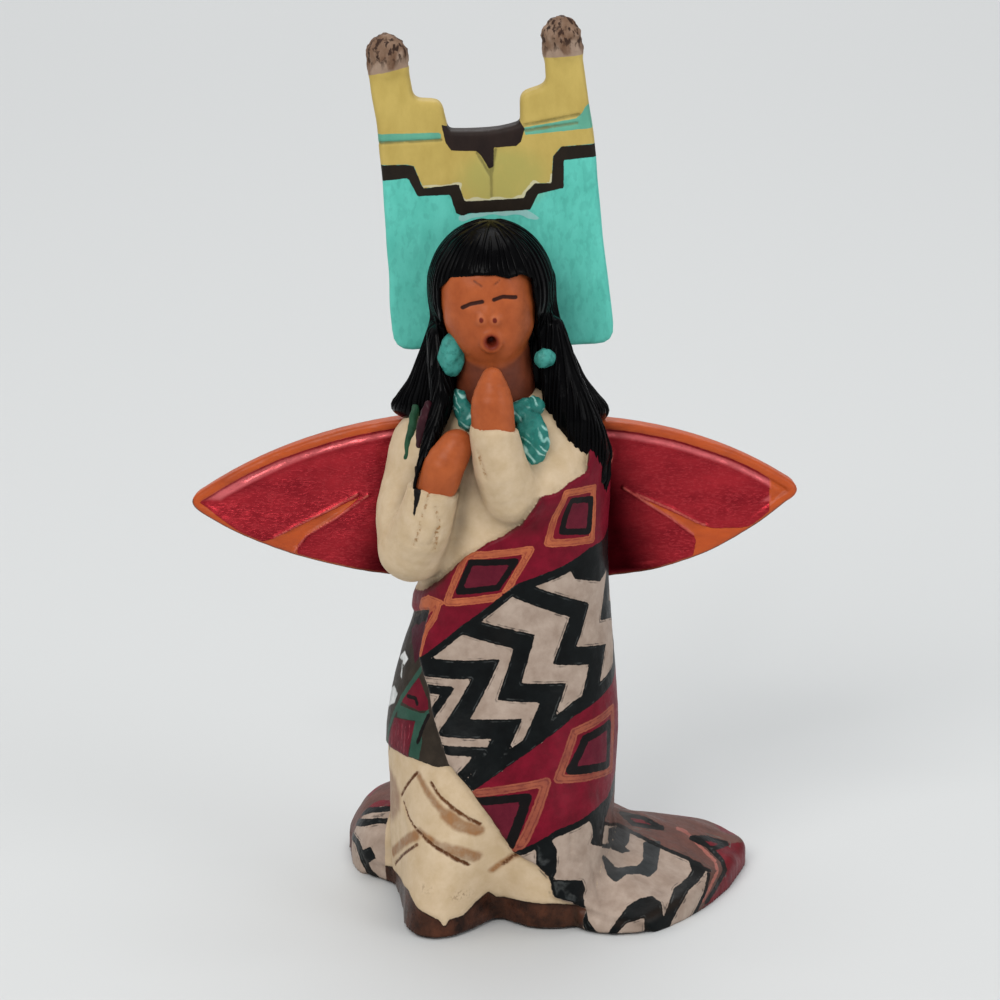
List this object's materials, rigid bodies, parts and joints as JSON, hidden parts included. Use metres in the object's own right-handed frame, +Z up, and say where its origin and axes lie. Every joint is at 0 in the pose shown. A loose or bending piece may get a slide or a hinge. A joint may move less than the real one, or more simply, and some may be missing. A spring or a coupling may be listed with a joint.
{
  "type": "angel figurine",
  "caption": "Kneeling winged woman in a draped patterned blanket with a tall stepped headdress, hands joined and singing, cast as one small standing ornament.",
  "frame": {"origin": "on the flat underside, below the middle of the kneeling body", "axes": "+Z up, +X to the figure's left hand side as seen from the front (viewer's right), +Y to the back: the figure looks towards -Y"},
  "size_m": [0.0899, 0.049, 0.13],
  "materials": {
    "painted_resin": "hand-painted cast resin, satin, in turquoise, yellow, cream, black, red and brown, with metallic red wings"
  },
  "bodies": {
    "root": {"angel_figurine": "painted_resin"}
  },
  "joints": []
}
